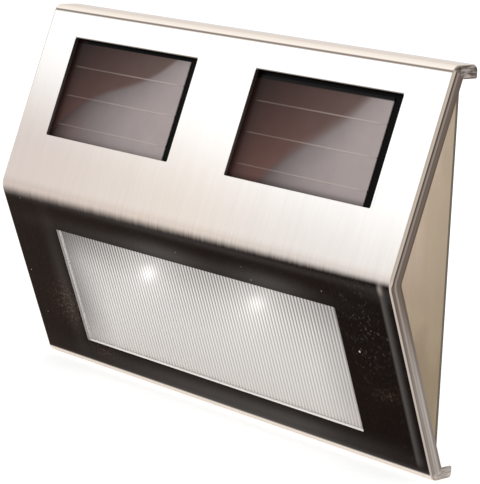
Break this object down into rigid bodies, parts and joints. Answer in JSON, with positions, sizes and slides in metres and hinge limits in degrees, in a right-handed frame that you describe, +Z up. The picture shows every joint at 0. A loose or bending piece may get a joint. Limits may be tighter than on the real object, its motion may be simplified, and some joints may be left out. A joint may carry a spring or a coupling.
{
  "type": "solar step light",
  "caption": "Wall-hung solar light for steps and stair risers: a folded steel wedge with solar panels on its upper slope and a ribbed, lit lens on its lower slope.",
  "frame": {"origin": "midway between the entry holes of the two keyholes, in the back face that lies on the wall", "axes": "+X to the right as seen from the front, +Y into the wall, +Z up"},
  "size_m": [0.14, 0.0219, 0.091],
  "materials": {
    "brushed_steel": "brushed down the slopes, satin",
    "black_plastic": "fine matte",
    "solar_panel": "clear resin over a dark base",
    "solar_cells": "smooth, dark brown-grey",
    "frosted_lens": "frosted clear plastic with fine ribs",
    "seal_rubber": "matte",
    "lens_seal": "pale, half clear",
    "white_plastic": "smooth",
    "led": "clear moulded resin",
    "circuit_board": "solder mask",
    "coil": "matte ferrite",
    "capacitor": "smooth",
    "screws": "zinc plated",
    "switch_case": "pressed and plated",
    "battery_sleeve": "shrunk sleeve",
    "contacts": "nickel plated",
    "red_lead": "soft insulation",
    "white_lead": "soft insulation"
  },
  "bodies": {
    "light": {"front_cover": "brushed_steel", "side_plate_left": "brushed_steel", "side_plate_right": "brushed_steel", "inner_housing": "black_plastic", "solar_panel_left": "solar_panel", "solar_panel_right": "solar_panel", "solar_cells_left": "solar_cells", "solar_cells_right": "solar_cells", "panel_seal_left": "seal_rubber", "panel_seal_right": "seal_rubber", "lens": "frosted_lens", "lens_seal": "lens_seal", "reflector": "white_plastic", "led_board": "circuit_board", "led_left": "led", "led_right": "led", "circuit_board": "circuit_board", "driver_chip": "black_plastic", "coil": "coil", "capacitor": "capacitor", "resistors": "black_plastic", "board_screws": "screws", "switch_body": "switch_case", "battery": "battery_sleeve", "battery_spring": "contacts", "battery_plate": "contacts", "back_cover": "black_plastic", "back_seal": "seal_rubber", "cover_screws": "screws", "solar_leads": "red_lead", "battery_leads": "red_lead", "led_leads": "white_lead"},
    "knob": {"switch_knob": "white_plastic"},
    "door": {"battery_door": "black_plastic", "door_seal": "seal_rubber", "door_screws": "screws"}
  },
  "joints": [
    {"name": "knob_slide", "type": "slide", "parent": "light", "child": "knob", "axis": [1, 0, 0], "range_m": [-0.0025, 0]},
    {"name": "door_lift", "type": "slide", "parent": "light", "child": "door", "axis": [0, 1, 0], "range_m": [0, 0.012]}
  ]
}
